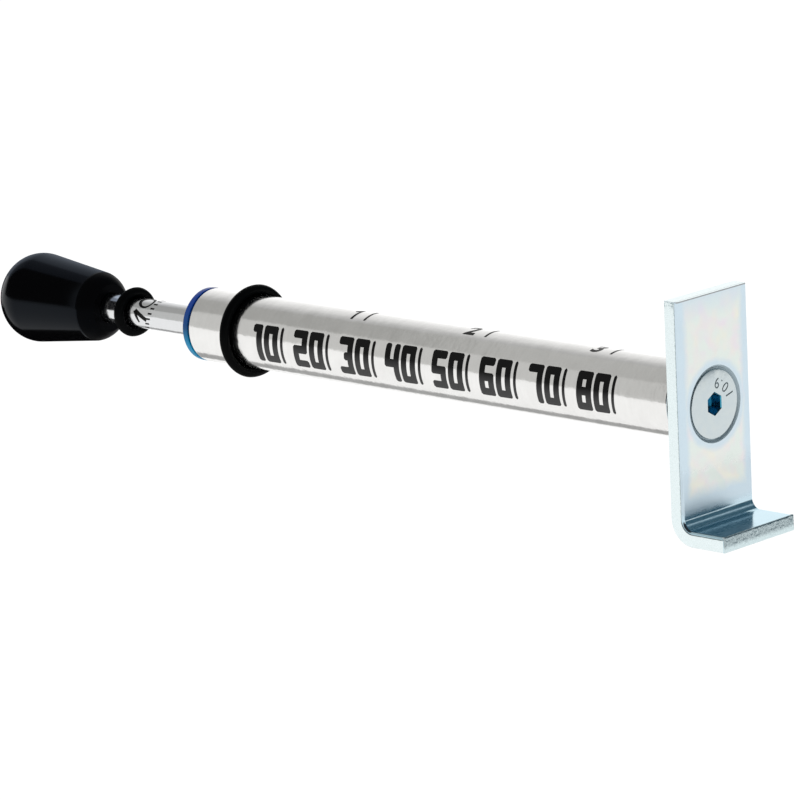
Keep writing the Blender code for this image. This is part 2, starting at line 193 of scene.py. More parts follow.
class Finish:
    """One material: a principled shader and whatever feeds it."""

    def __init__(self, name, **uniform):
        self.material = bpy.data.materials.new(name)
        self.material.use_nodes = True
        self.tree = self.material.node_tree
        self.tree.nodes.clear()
        self.shader = self.tree.nodes.new("ShaderNodeBsdfPrincipled")
        output = self.tree.nodes.new("ShaderNodeOutputMaterial")
        self.tree.links.new(self.shader.outputs["BSDF"], output.inputs["Surface"])
        self.feed(**uniform)

    def feed(self, **values):
        """Sets or links sockets of the shader; an underscore stands for a space."""
        for words, value in values.items():
            self.plug(self.shader.inputs[words.replace("_", " ")], value)

    def plug(self, socket, value):
        if isinstance(value, Signal):
            self.tree.links.new(value.socket, socket)
        else:
            socket.default_value = value

    def node(self, kind, settings=None, sockets=None, output=None):
        """Any node: its settings first, then its sockets, by their identifiers."""
        node = self.tree.nodes.new(kind)
        for name, value in (settings or {}).items():
            if name == "stops":
                fill_ramp(node.color_ramp, value)
            else:
                setattr(node, name, value)
        inputs = {socket.identifier: socket for socket in node.inputs}
        for name, value in (sockets or {}).items():
            self.plug(inputs[name], value)
        outputs = {socket.identifier: socket for socket in node.outputs}
        return Signal(self, outputs[output] if output else node.outputs[0])

    def place(self, stretch=(1.0, 1.0, 1.0)):
        """The piece's own coordinates in millimetres, each divided by its stretch."""
        own = self.node("ShaderNodeTexCoord", output="Object")
        scale = tuple(1.0 / (MM * share) for share in stretch)
        return self.node(
            "ShaderNodeVectorMath", {"operation": "MULTIPLY"}, {"Vector": own, "Vector_001": scale}
        )

    def split(self, vector):
        return [
            self.node("ShaderNodeSeparateXYZ", None, {"Vector": vector}, axis) for axis in "XYZ"
        ]

    def grain(self, vector, scale=1.0, detail=2.0, roughness=0.5, distortion=0.0):
        """Noise, in features per millimetre where the vector is in millimetres."""
        return self.node(
            "ShaderNodeTexNoise",
            {"noise_dimensions": "3D"},
            {
                "Vector": vector,
                "Scale": scale,
                "Detail": detail,
                "Roughness": roughness,
                "Distortion": distortion,
            },
            "Fac",
        )

    def texture(self, size, detail=2.0, roughness=0.5):
        """Noise with features of a size in millimetres: one for all axes, or one for each."""
        stretch = size if isinstance(size, tuple) else (size, size, size)
        return self.grain(self.place(stretch), 1.0, detail, roughness)

    def ramp(self, signal, stops):
        """Maps a value to a colour or grey through stops of (position, colour)."""
        return self.node("ShaderNodeValToRGB", {"stops": stops}, {"Fac": signal}, "Color")

    def limits(self, signal, low, high, to_low=0.0, to_high=1.0):
        return self.node(
            "ShaderNodeMapRange",
            {"clamp": True},
            {
                "Value": signal,
                "From Min": low,
                "From Max": high,
                "To Min": to_low,
                "To Max": to_high,
            },
        )

    def blend(self, share, first, second, how="MIX"):
        """Mixes two colours."""
        return self.node(
            "ShaderNodeMix",
            {"data_type": "RGBA", "blend_type": how},
            {"Factor_Float": share, "A_Color": first, "B_Color": second},
            "Result_Color",
        )

    def bump(self, height, depth, normal=None):
        """Raises the surface by the height, which runs from 0 to 1, times a depth in mm."""
        sockets = {"Height": height, "Distance": depth * MM, "Strength": 1.0}
        if normal is not None:
            sockets["Normal"] = normal
        return self.node("ShaderNodeBump", None, sockets)


def fill_ramp(ramp, stops):
    while len(ramp.elements) < len(stops):
        ramp.elements.new(0.5)
    for element, (position, colour) in zip(ramp.elements, stops):
        element.position = position
        element.color = colour


def grey(level):
    return (level, level, level, 1.0)


def colour(red, green, blue):
    return (red, green, blue, 1.0)


# Finishes


def ground_steel(name="ground_steel", dark=(0.72, 0.715, 0.70), light=(0.93, 0.925, 0.91)):
    """Tube ground between wheels: fine rings, and soft clouds in the shine."""
    steel = Finish(name, Metallic=1.0)
    rings = steel.texture((3.0, 3.0, 0.06), 2.0, 0.6)
    coarse = steel.texture((4.0, 4.0, 0.5), 3.0, 0.6)
    handling = steel.texture((0.2, 0.2, 7.0), 2.0, 0.6)
    cloud = steel.texture((2.6, 2.6, 2.2), 3.0, 0.55)
    steel.feed(
        Base_Color=steel.blend(cloud * 0.6 + coarse * 0.4, colour(*dark), colour(*light)),
        Roughness=steel.limits(rings * 0.5 + cloud * 0.5, 0.35, 0.65, 0.10, 0.19),
    )
    waves = steel.bump(cloud, 0.05)
    steel.feed(Normal=steel.bump(handling * 0.4 + rings * 0.6, 0.0004, waves))
    return steel.material


def turned_steel(name="turned_steel"):
    steel = Finish(name, Metallic=1.0)
    lines = steel.texture((0.05, 2.0, 2.0), 2.0, 0.6)
    cloud = steel.texture(2.0, 2.0)
    steel.feed(
        Base_Color=steel.blend(cloud, colour(0.42, 0.42, 0.43), colour(0.58, 0.58, 0.57)),
        Roughness=steel.limits(lines, 0.3, 0.7, 0.25, 0.4),
        Normal=steel.bump(lines, 0.002),
    )
    return steel.material


def from_face(x, z):
    """How deep a point of the strip lies under its front face, round the bend too."""
    across = (BEND_RADIUS - x).most(0.0)
    down = (FOOT_TOP + BEND_RADIUS - z).most(0.0)
    return (across * across + down * down) ** 0.5 - BEND_RADIUS


def zinc_plate():
    """Bright zinc whose colour turns bluer near the edges, the bend and the screw, and cyan on the foot; a
    painted dark reflection runs along the top edge of the front face.
    """
    zinc = Finish("zinc_plate", Metallic=1.0)
    x, y, z = zinc.split(zinc.place())
    mottle = zinc.texture(2.2, 3.0, 0.6)
    patch = zinc.texture(4.0, 2.0, 0.5)
    blush = zinc.texture(3.1, 2.0, 0.5)
    fine = zinc.texture(0.3, 3.0, 0.6)
    drawn = zinc.texture((0.16, 9.0, 0.16), 2.0, 0.5)
    wander = (mottle - 0.5) * 1.6
    from_side = zinc.limits(abs(y) + wander, 5.9, 7.1)
    from_top = zinc.limits(z + wander * 1.5, PLATE_TOP - 4.0, PLATE_TOP, 0.0, 0.8)
    from_bend = zinc.limits(z + wander, FOOT_TOP + 4.2, FOOT_TOP + 6.0, 1.0, 0.0)
    from_axis = (y * y + (z - AXIS_HEIGHT) * (z - AXIS_HEIGHT)) ** 0.5
    from_screw = zinc.limits(from_axis + wander * 0.6, COUNTERSINK_RADIUS + 0.6, 7.4, 0.9, 0.0)
    blue_tint = from_side.most(from_top).most(from_bend).most(from_screw)
    tones = zinc.limits(patch, 0.35, 0.65)
    warm = zinc.blend(tones, colour(0.79, 0.79, 0.70), colour(0.77, 0.72, 0.77))
    clear = zinc.blend(zinc.limits(blush, 0.4, 0.6), warm, colour(0.73, 0.79, 0.75))
    blue = zinc.blend(mottle, colour(0.55, 0.66, 0.74), colour(0.64, 0.76, 0.83))
    cyan = colour(0.50, 0.70, 0.79)
    on_foot = zinc.limits(z, FOOT_TOP + 0.2, FOOT_TOP + 3.0, 1.0, 0.0)
    # Painted reflection: a dark grey line along the top edge of the front face.
    top_edge_painted_dark = zinc.limits(z, PLATE_TOP - 0.24, PLATE_TOP - 0.16) * zinc.limits(x, -0.3, -0.1)
    face = zinc.blend(top_edge_painted_dark, zinc.blend(blue_tint, clear, blue), colour(0.36, 0.38, 0.39))
    zinc.feed(
        Base_Color=zinc.blend(on_foot, face, cyan),
        Roughness=zinc.limits(mottle * 0.7 + fine * 0.3, 0.35, 0.65, 0.12, 0.2)
        + zinc.limits(z, FOOT_TOP + 1.4, FOOT_TOP + 2.4) * zinc.limits(z, 3.0, 0.0) * 0.16,
    )
    near_bend = zinc.limits(z, FOOT_TOP + 0.5, FOOT_TOP + BEND_RADIUS, 0.0, 1.0)
    bend = (1.0 - abs(near_bend * 2.0 - 1.0)) * zinc.limits(x, 0.2, 0.6)
    creases = zinc.bump(drawn * bend, 0.03)
    dents = zinc.bump(mottle, 0.007, creases)
    zinc.feed(Normal=zinc.bump(fine, 0.0014, dents))
    return zinc.material


def sheared_zinc():
    """The strip's cut sides: smooth where the blade went in, grainy where it broke out."""
    zinc = Finish("sheared_zinc", Metallic=1.0)
    x, y, z = zinc.split(zinc.place())
    depth = from_face(x, z)
    torn = zinc.texture((0.45, 0.45, 0.3), 3.0, 0.65)
    fine = zinc.texture(0.2, 3.0, 0.7)
    # Painted reflection: a dark line along each side's crease, beside the rolled front edge.
    crease = zinc.limits(abs(depth + (torn - 0.5) * 0.25 - CREASE_DEPTH), 0.04, 0.11, 1.0, 0.0)
    pale = zinc.blend(torn, colour(0.74, 0.84, 0.84), colour(0.86, 0.94, 0.96))
    near_top = zinc.limits(z, PLATE_TOP - 1.4, PLATE_TOP - 0.5)
    near_top *= zinc.limits(z, PLATE_TOP - 0.02, PLATE_TOP - 0.1)
    specks = near_top * zinc.limits(torn, 0.5, 0.58) * 0.8
    zinc.feed(
        Base_Color=zinc.blend(specks.most(crease * 0.6), pale, colour(0.22, 0.30, 0.32)),
        Roughness=zinc.limits(fine, 0.3, 0.7, 0.2, 0.34),
        Normal=zinc.bump(torn * 0.7 + fine * 0.3, 0.012),
    )
    return zinc.material


def broken_zinc():
    """The foot's end, where the strip broke off."""
    zinc = Finish("broken_zinc", Metallic=1.0)
    fine = zinc.texture(0.16, 3.0, 0.7)
    lumps = zinc.texture(0.5, 2.0, 0.6)
    height = zinc.split(zinc.place())[2] + (lumps - 0.5)
    smooth_share = zinc.limits(height, FOOT_TOP - 1.3, FOOT_TOP - 1.9)
    torn = zinc.blend(zinc.limits(fine, 0.4, 0.6), colour(0.24, 0.30, 0.32), colour(0.56, 0.66, 0.68))
    zinc.feed(
        Base_Color=zinc.blend(smooth_share, torn, colour(0.66, 0.78, 0.80)),
        Roughness=zinc.limits(fine, 0.3, 0.7, 0.22, 0.4),
        Normal=zinc.bump(fine, 0.02),
    )
    return zinc.material


def zinc_screw():
    zinc = Finish("zinc_screw", Metallic=1.0)
    fine = zinc.texture(0.3, 3.0, 0.6)
    cloud = zinc.texture(1.6, 2.0)
    zinc.feed(
        Base_Color=zinc.blend(cloud, colour(0.53, 0.61, 0.65), colour(0.62, 0.67, 0.66)),
        Roughness=zinc.limits(fine, 0.3, 0.7, 0.13, 0.2),
        Normal=zinc.bump(fine * 0.3 + cloud * 0.7, 0.003),
    )
    return zinc.material


def dull_zinc(name, dark, light):
    """Dull zinc for the countersink and the figures' floors: the roughness is the dull cut, and the dark
    colour is painted shade in these recesses.
    """
    zinc = Finish(name, Metallic=0.8)
    fine = zinc.texture(0.3, 3.0, 0.7)
    zinc.feed(
        Base_Color=zinc.blend(fine, colour(*dark), colour(*light)),
        Roughness=zinc.limits(fine, 0.3, 0.7, 0.45, 0.6),
        Normal=zinc.bump(fine, 0.006),
    )
    return zinc.material


def blue_socket():
    """The socket: a mottled deep blue, much darker than the head."""
    zinc = Finish("blue_socket", Metallic=1.0, Roughness=0.25)
    fine = zinc.texture(0.5, 3.0, 0.7)
    zinc.feed(
        Base_Color=zinc.blend(fine, colour(0.02, 0.22, 0.36), colour(0.12, 0.46, 0.60)),
        Normal=zinc.bump(fine, 0.02),
    )
    return zinc.material


def black_plastic(name="black_plastic", shine=0.13, roughness=0.13):
    plastic = Finish(name, Specular_IOR_Level=shine)
    peel = plastic.texture(0.9, 2.0)
    dust = plastic.texture(0.12, 3.0, 0.8)
    plastic.feed(
        Base_Color=plastic.blend(dust, colour(0.0008, 0.0008, 0.001), colour(0.0018, 0.0018, 0.002)),
        Specular_Tint=colour(0.62, 0.78, 1.0),
        Roughness=plastic.limits(dust, 0.3, 0.7, roughness, roughness + 0.06),
        Normal=plastic.bump(peel, 0.0012),
    )
    return plastic.material


def black_rubber():
    rubber = Finish("black_rubber", Specular_IOR_Level=0.03)
    fine = rubber.texture(0.12, 3.0, 0.7)
    rubber.feed(
        Base_Color=rubber.blend(fine, colour(0.0005, 0.0008, 0.0008), colour(0.002, 0.0022, 0.0024)),
        Roughness=rubber.limits(fine, 0.3, 0.7, 0.34, 0.46),
        Normal=rubber.bump(fine, 0.002),
    )
    return rubber.material


def blue_nylon():
    nylon = Finish("blue_nylon", Specular_IOR_Level=0.25)
    fine = nylon.texture(0.4, 3.0, 0.6)
    height = nylon.split(nylon.place())[0]
    # Painted light: the bush's blue is lighter below the axis, as a painted reflection of the pale floor,
    # and navy above.
    upper = nylon.blend(nylon.limits(height, 0.0, 4.0), colour(0.0, 0.05, 0.16), colour(0.001, 0.03, 0.20))
    nylon.feed(
        Base_Color=nylon.blend(
            nylon.limits(height + fine, 1.0, -2.0), upper, colour(0.0, 0.21, 0.40)
        ),
        Roughness=nylon.limits(fine, 0.3, 0.7, 0.24, 0.32),
        Normal=nylon.bump(fine, 0.003),
    )
    return nylon.material


def spring_steel():
    steel = Finish("spring_steel", Metallic=1.0)
    fine = steel.texture(0.4, 3.0, 0.6)
    steel.feed(
        Base_Color=steel.blend(fine, colour(0.16, 0.16, 0.17), colour(0.34, 0.33, 0.32)),
        Roughness=0.3,
        Normal=steel.bump(fine, 0.003),
    )
    return steel.material


def turned_brass():
    brass = Finish("turned_brass", Metallic=1.0)
    lines = brass.texture((0.05, 2.0, 2.0), 2.0, 0.6)
    brass.feed(
        Base_Color=brass.blend(lines, colour(0.62, 0.42, 0.16), colour(0.80, 0.60, 0.28)),
        Roughness=brass.limits(lines, 0.3, 0.7, 0.22, 0.35),
        Normal=brass.bump(lines, 0.002),
    )
    return brass.material


def black_ink(name="black_ink", underside_sheen=0.003):
    """Black ink, painted a lighter grey towards the underside as a painted reflection of the pale floor.
    """
    ink = Finish(name, Specular_IOR_Level=0.1)
    cloud = ink.texture(0.5, 3.0, 0.6)
    # Painted reflection: lighter grey towards the underside, where the ink would mirror the pale floor.
    floor_sheen_share = ink.limits(ink.split(ink.place())[0] + cloud * 0.6, 1.3, -0.5)
    plain_ink = ink.blend(cloud, colour(0.002, 0.002, 0.002), colour(0.004, 0.004, 0.004))
    ink.feed(
        Base_Color=ink.blend(floor_sheen_share, plain_ink, grey(underside_sheen)),
        Roughness=ink.limits(cloud, 0.3, 0.7, 0.22, 0.32),
        Normal=ink.bump(cloud, 0.001),
    )
    return ink.material


# Shaping


def lying_on_axis():
    """Lays a piece made on its own Z along the gauge: its Z points along X, its X points up."""
    turn = Matrix(((0, 0, 1, 0), (0, -1, 0, 0), (1, 0, 0, 0), (0, 0, 0, 1)))
    return Matrix.Translation((0, 0, AXIS_HEIGHT * MM)) @ turn


def put(maker, name, materials, on_axis=True, smooth=35.0):
    """Turns a bmesh in millimetres into an object."""
    bmesh.ops.recalc_face_normals(maker, faces=maker.faces)
    bmesh.ops.scale(maker, vec=(MM, MM, MM), verts=maker.verts)
    mesh = bpy.data.meshes.new(name)
    maker.to_mesh(mesh)
    maker.free()
    mesh.shade_smooth()
    mesh.set_sharp_from_angle(angle=math.radians(smooth))
    piece = bpy.data.objects.new(name, mesh)
    bpy.context.scene.collection.objects.link(piece)
    if on_axis:
        piece.matrix_world = lying_on_axis()
    for material in materials:
        mesh.materials.append(material)
    return piece


def fasten(piece, body, slot, *nodes):
    """Says which body carries a piece and hides the nodes it stands for; slot is not used."""
    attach(piece, body)
    if nodes:
        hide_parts(*nodes)


def rounded(points, radius_at, segments=ROUNDING_SEGMENTS):
    """Rounds corners of a closed chain; radius_at maps a point's index to its radius."""
    chain = []
    for index, point in enumerate(points):
        radius = radius_at.get(index, 0.0)
        here = Vector(point)
        if not radius:
            chain.append(here)
            continue
        before = (Vector(points[index - 1]) - here).normalized()
        after = (Vector(points[(index + 1) % len(points)]) - here).normalized()
        half = before.angle(after) / 2
        middle = here + (before + after).normalized() * radius / math.sin(half)
        start = here + before * radius / math.tan(half) - middle
        end = here + after * radius / math.tan(half) - middle
        first = math.atan2(start.y, start.x)
        sweep = (math.atan2(end.y, end.x) - first + math.pi) % math.tau - math.pi
        for step in range(segments + 1):
            angle = first + sweep * step / segments
            chain.append(middle + Vector((math.cos(angle), math.sin(angle))) * radius)
    return chain


def turned(profile, segments=TURNED_SEGMENTS):
    """Turns a closed chain of (radius, station) points round the gauge's axis."""
    maker = bmesh.new()
    columns = []
    for step in range(segments):
        angle = math.tau * step / segments
        column = []
        for index, (radius, station) in enumerate(profile):
            if radius < MM and columns:
                column.append(columns[0][index])
            else:
                column.append(
                    maker.verts.new((radius * math.cos(angle), radius * math.sin(angle), station))
                )
        columns.append(column)
    count = len(profile)
    for step in range(segments):
        here, there = columns[step], columns[(step + 1) % segments]
        for index in range(count):
            after = (index + 1) % count
            corners = list(dict.fromkeys((here[index], there[index], there[after], here[after])))
            if len(corners) > 2:
                maker.faces.new(corners)
    return maker


def bake_modifiers(piece, smooth=None):
    """Applies a piece's modifiers to its mesh."""
    bpy.context.view_layer.update()
    graph = bpy.context.evaluated_depsgraph_get()
    mesh = bpy.data.meshes.new_from_object(piece.evaluated_get(graph), depsgraph=graph)
    piece.modifiers.clear()
    piece.data = mesh
    if smooth:
        mesh.shade_smooth()
        mesh.set_sharp_from_angle(angle=math.radians(smooth))


def carve(piece, cutter, smooth=35.0):
    """Cuts one object out of another and throws the cutter away."""
    cut = piece.modifiers.new("cut", "BOOLEAN")
    cut.operation = "DIFFERENCE"
    cut.solver = "EXACT"
    cut.object = cutter
    bake_modifiers(piece, smooth)
    bpy.data.objects.remove(cutter)


def soften_shading(piece):
    """Lets flat faces keep flat shading beside small roundings."""
    weigh = piece.modifiers.new("weigh", "WEIGHTED_NORMAL")
    weigh.keep_sharp = True
    weigh.weight = 80
    bake_modifiers(piece)


# Print and stamped numbers

INK_DEPTH = 0.02
INK_SUNK = 0.01
WRAP_STEP = 0.3

# Block numerals on a grid of strokes and counters, a row at a time from the top
BLOCK_NUMERALS = {
    "0": ("###", "# #", "# #", "# #", "###"),
    "1": ("## ", " # ", " # ", " # ", " # "),
    "2": ("###", "  #", "###", "#  ", "###"),
    "3": ("###", "  #", " ##", "  #", "###"),
    "4": ("# #", "# #", "###", "  #", "  #"),
    "5": ("###", "#  ", "###", "  #", "###"),
    "6": ("###", "#  ", "###", "# #", "###"),
    "7": ("###", "  #", "  #", "  #", "  #"),
    "8": ("###", "# #", "###", "# #", "###"),
}
BLOCK_WIDTHS = (1.15, 0.72, 1.15)
ONE_WIDTHS = (0.75, 1.25, 0.0)
BLOCK_HEIGHTS = (1.34, 1.15, 1.34, 1.15, 1.34)
BLOCK_HEIGHT = sum(BLOCK_HEIGHTS)
BLOCK_SPACING = 0.45
BLOCK_OUTER_CHAMFER = 0.42
BLOCK_INNER_CHAMFER = 0.16

# Where the marks lie, as stations along X and angles down from the top towards the front
MILLIMETRE_ZERO = -95.34
MILLIMETRE_STEP = 10.0
MILLIMETRE_STEPS = 8
MILLIMETRE_TICK_WIDTH = 0.55
MILLIMETRE_TICK_GAP = 0.6
MILLIMETRE_ANGLE = 92.0
MILLIMETRE_DRIFT = -0.1
INCH_ZERO = -95.34
INCH_STEP = 25.4
INCH_STEPS = 3
INCH_TICK_WIDTH = 0.42
INCH_TICK_ARC = 33.0
INCH_NUMERAL_GAP = 2.3
INCH_NUMERAL_HEIGHT = 3.3
INCH_ONE_WIDTH = 1.25
INCH_ONE_STROKE = 0.48
INCH_ANGLE = 31.5
INCH_DRIFT = -0.2

# The rod's mark: a bold number that climbs round it, with a row of dashes beside it
ROD_ONE_TOP = (-122.3, 66.8)
ROD_ONE_FOOT = (-119.6, 99.0)
ROD_ONE_FLAG = (-121.4, 112.0)
ROD_NOUGHT_MIDDLE = (-120.7, 20.0)
ROD_NOUGHT_HALF_HEIGHT = 1.6
ROD_NOUGHT_HALF_WIDTH = 1.5
ROD_STROKE = 0.72
ROD_THIN_STROKE = 0.32
ROD_DASH_ANGLES = range(-12, 140, 21)
ROD_DASH_STATION = -118.3
ROD_DASH_SWING = 0.0001
ROD_DASH_HEIGHT = 0.85
ROD_DASH_WIDTH = 0.3


def flat_box(maker, left, right, low, high):
    """A face from left to right and low to high, to be raised later."""
    corners = ((left, low), (right, low), (right, high), (left, high))
    return maker.faces.new([maker.verts.new((x, y, 0.0)) for x, y in corners])


def flat_strokes(maker, points, widths):
    """A band along a chain of points, with a width at each point."""
    sides = []
    for index, (point, width) in enumerate(zip(points, widths)):
        here = Vector(point)
        before = Vector(points[max(index - 1, 0)])
        after = Vector(points[min(index + 1, len(points) - 1)])
        along = (after - before).normalized()
        across = Vector((-along.y, along.x)) * width / 2
        sides.append([maker.verts.new((*(here + way * across), 0.0)) for way in (1, -1)])
    for here, there in zip(sides, sides[1:]):
        maker.faces.new((here[0], here[1], there[1], there[0]))


def block_number(maker, text, right, middle):
    """Draws a number in block numerals that ends at the right and stands round the middle."""
    widths = [ONE_WIDTHS if figure == "1" else BLOCK_WIDTHS for figure in text]
    left = right - sum(map(sum, widths)) - BLOCK_SPACING * (len(text) - 1)
    for figure, columns in zip(text, widths):
        top = middle + BLOCK_HEIGHT / 2
        for row, height in zip(BLOCK_NUMERALS[figure], BLOCK_HEIGHTS):
            edge = left
            for mark, width in zip(row, columns):
                if mark == "#":
                    flat_box(maker, edge, edge + width, top - height, top)
                edge += width
            top -= height
        left += sum(columns) + BLOCK_SPACING


def raise_print(maker, depth=INK_DEPTH + INK_SUNK):
    """Gives flat print its thickness, as one skin round each mark."""
    bmesh.ops.remove_doubles(maker, verts=maker.verts, dist=MM)
    raised = bmesh.ops.extrude_face_region(maker, geom=maker.faces[:])
    tops = [item for item in raised["geom"] if isinstance(item, bmesh.types.BMVert)]
    bmesh.ops.translate(maker, vec=(0, 0, depth), verts=tops)
    bmesh.ops.recalc_face_normals(maker, faces=maker.faces)


def chamfer_corners(maker, outer, inner):
    """Cuts the corners of raised print, which are its upright edges."""
    for wanted, offset in ((True, outer), (False, inner)):
        corners = []
        for edge in maker.edges:
            if abs(edge.verts[0].co.z - edge.verts[1].co.z) < MM or not edge.is_manifold:
                continue
            turn = edge.calc_face_angle_signed()
            if abs(turn) > 1.0 and (turn > 0) == wanted:
                corners.append(edge)
        bmesh.ops.bevel(
            maker, geom=corners, offset=offset, offset_type="OFFSET", segments=1,
            affect="EDGES", clamp_overlap=True, profile=0.5,
        )


def slice_up(maker, step=WRAP_STEP, axis=1):
    """Cuts print into narrow bands, so that it can follow a round surface."""
    places = [vert.co[axis] for vert in maker.verts]
    normal = Vector((0, 0, 0))
    normal[axis] = 1.0
    count = max(1, math.ceil((max(places) - min(places)) / step))
    for band in range(1, count):
        at = normal * (min(places) + (max(places) - min(places)) * band / count)
        bmesh.ops.bisect_plane(
            maker, geom=maker.verts[:] + maker.edges[:] + maker.faces[:], plane_co=at,
            plane_no=normal, dist=MM * 0.1,
        )


def wrap(maker, radius, angle, drift=0.0, pivot=0.0):
    """Wraps print round the axis: its X is the station, its Y climbs from the angle."""
    for vert in maker.verts:
        station, climb, lift = vert.co
        turn = math.radians(angle + drift * (station - pivot)) - climb / radius
        reach = radius + lift - INK_SUNK
        vert.co = (reach * math.cos(turn), reach * math.sin(turn), station)


def lettered(text, height, bold=0.0):
    """Plain numerals as a flat mesh that stands on Y 0, with its left end at X 0."""
    curve = bpy.data.curves.new("numerals", "FONT")
    curve.body = text
    curve.size = 1.0
    curve.offset = bold
    curve.resolution_u = 8
    holder = bpy.data.objects.new("numerals", curve)
    bpy.context.scene.collection.objects.link(holder)
    bpy.context.view_layer.update()
    graph = bpy.context.evaluated_depsgraph_get()
    mesh = bpy.data.meshes.new_from_object(holder.evaluated_get(graph), depsgraph=graph)
    bpy.data.objects.remove(holder)
    maker = bmesh.new()
    maker.from_mesh(mesh)
    bpy.data.meshes.remove(mesh)
    left = min(vert.co.x for vert in maker.verts)
    low = min(vert.co.y for vert in maker.verts)
    high = max(vert.co.y for vert in maker.verts)
    scale = height / (high - low)
    bmesh.ops.translate(maker, vec=(-left, -low, 0), verts=maker.verts)
    bmesh.ops.scale(maker, vec=(scale, scale, scale), verts=maker.verts)
    return maker


def move(maker, matrix):
    bmesh.ops.transform(maker, matrix=matrix, verts=maker.verts)


def join(maker, other):
    """Adds another bmesh to this one."""
    spare = bpy.data.meshes.new("spare")
    other.to_mesh(spare)
    other.free()
    maker.from_mesh(spare)
    bpy.data.meshes.remove(spare)


# Pieces


def make_barrel(steel):
    outline = [
        (BORE_RADIUS, BARREL_MOUTH),
        (BARREL_RADIUS, BARREL_MOUTH),
        (BARREL_RADIUS, PLUG_SHOULDER - BARREL_END_GAP),
        (BORE_RADIUS, PLUG_SHOULDER - BARREL_END_GAP),
    ]
    profile = rounded(outline, {1: BARREL_EDGE, 2: BARREL_EDGE})
    fasten(put(turned(profile), "ground_barrel", [steel]), "barrel", "steel_tube", "barrel")


def make_guide_bush(nylon):
    mouth = BUSH_MOUTH_CHAMFER
    outline = [
        (ROD_HOLE_RADIUS, BUSH_FACE + mouth),
        (ROD_HOLE_RADIUS + mouth, BUSH_FACE),
        (BUSH_FLANGE_RADIUS, BUSH_FACE),
        (BUSH_FLANGE_RADIUS, BUSH_SHOULDER),
        (INNER_PIECE_RADIUS, BUSH_SHOULDER),
        (INNER_PIECE_RADIUS, BUSH_NOSE - mouth),
        (INNER_PIECE_RADIUS - mouth, BUSH_NOSE),
        (ROD_HOLE_RADIUS, BUSH_NOSE),
    ]
    profile = rounded(outline, {2: BUSH_FLANGE_ROUNDING, 3: 0.1})
    piece = put(turned(profile), "flanged_bush", [nylon])
    fasten(piece, "barrel", "blue_bush", "guide_bush")


def make_end_plug(plastic):
    mouth = COUNTERSINK_RADIUS + PLUG_FACE
    outline = [
        (max(mouth, SCREW_HOLE_RADIUS), PLUG_FACE),
        (PLUG_FLANGE_RADIUS, PLUG_FACE),
        (PLUG_FLANGE_RADIUS, PLUG_SHOULDER),
        (INNER_PIECE_RADIUS, PLUG_SHOULDER),
        (INNER_PIECE_RADIUS, PLUG_NOSE + PLUG_CHAMFER),
        (INNER_PIECE_RADIUS - PLUG_CHAMFER, PLUG_NOSE),
        (SCREW_HOLE_RADIUS, PLUG_NOSE),
        (SCREW_HOLE_RADIUS, PLUG_FACE - 0.1),
    ]
    profile = rounded(outline, {1: 0.15, 2: 0.15})
    fasten(put(turned(profile), "flanged_plug", [plastic]), "barrel", "black_plug", "end_plug")


def make_rod(steel):
    outline = [
        (0.0, ROD_START),
        (ROD_RADIUS - ROD_CHAMFER, ROD_START),
        (ROD_RADIUS, ROD_START + ROD_CHAMFER),
        (ROD_RADIUS, ROD_SHOULDER),
        (SPIGOT_RADIUS, ROD_SHOULDER),
        (SPIGOT_RADIUS, GROOVE_START),
        (GROOVE_RADIUS, GROOVE_START),
        (GROOVE_RADIUS, GROOVE_END),
        (SPIGOT_RADIUS, GROOVE_END),
        (SPIGOT_RADIUS, ROD_END - ROD_CHAMFER),
        (SPIGOT_RADIUS - ROD_CHAMFER, ROD_END),
        (0.0, ROD_END),
    ]
    piece = put(turned(outline), "ground_rod", [steel])
    fasten(piece, "plunger", "bright_steel", "plunger_rod")


def make_knob(plastic, dull_plastic):
    """A domed end, a taper, and beyond a crisp edge a short nose round the rod."""
    taper = math.tan(KNOB_TAPER)
    middle = KNOB_FACE - KNOB_TAPER_LENGTH
    join_angle = math.atan(taper * KNOB_DOME_DEPTH / KNOB_RADIUS)
    join_station = middle + KNOB_DOME_DEPTH * math.sin(join_angle)
    edge_station = KNOB_FACE - KNOB_NOSE_LENGTH
    edge_radius = KNOB_RADIUS * math.cos(join_angle) - (edge_station - join_station) * taper
    narrowing = edge_radius - KNOB_FACE_RADIUS
    slant = math.hypot(KNOB_NOSE_LENGTH, narrowing)
    outline = [(0.0, POCKET_START), (0.0, middle - KNOB_DOME_DEPTH)]
    for step in range(1, SECTION_SEGMENTS + 1):
        angle = math.pi / 2 - (math.pi / 2 + join_angle) * step / SECTION_SEGMENTS
        station = middle - KNOB_DOME_DEPTH * math.sin(angle)
        outline.append((KNOB_RADIUS * math.cos(angle), station))
    edge = len(outline)
    steps = ROUNDING_SEGMENTS * 2
    for step in range(steps + 1):
        share = step / steps
        bulge = 4 * KNOB_NOSE_BULGE * share * (1 - share) / slant
        outline.append(
            (
                edge_radius - narrowing * share + KNOB_NOSE_LENGTH * bulge,
                edge_station + KNOB_NOSE_LENGTH * share + narrowing * bulge,
            )
        )
    face_edge = len(outline) - 1
    outline += [
        (KNOB_HOLE_RADIUS, KNOB_FACE),
        (KNOB_HOLE_RADIUS, POCKET_END),
        (POCKET_RADIUS, POCKET_END),
        (POCKET_RADIUS, POCKET_START),
    ]
    profile = rounded(outline, {edge: KNOB_NOSE_EDGE, face_edge: 0.1}, 4)
    maker = turned(profile)
    for face in maker.faces:
        if face.calc_center_median().z > edge_station + KNOB_NOSE_EDGE:
            face.material_index = 1
    piece = put(maker, "moulded_knob", [plastic, dull_plastic], smooth=50.0)
    fasten(piece, "plunger", "black_knob", "knob")


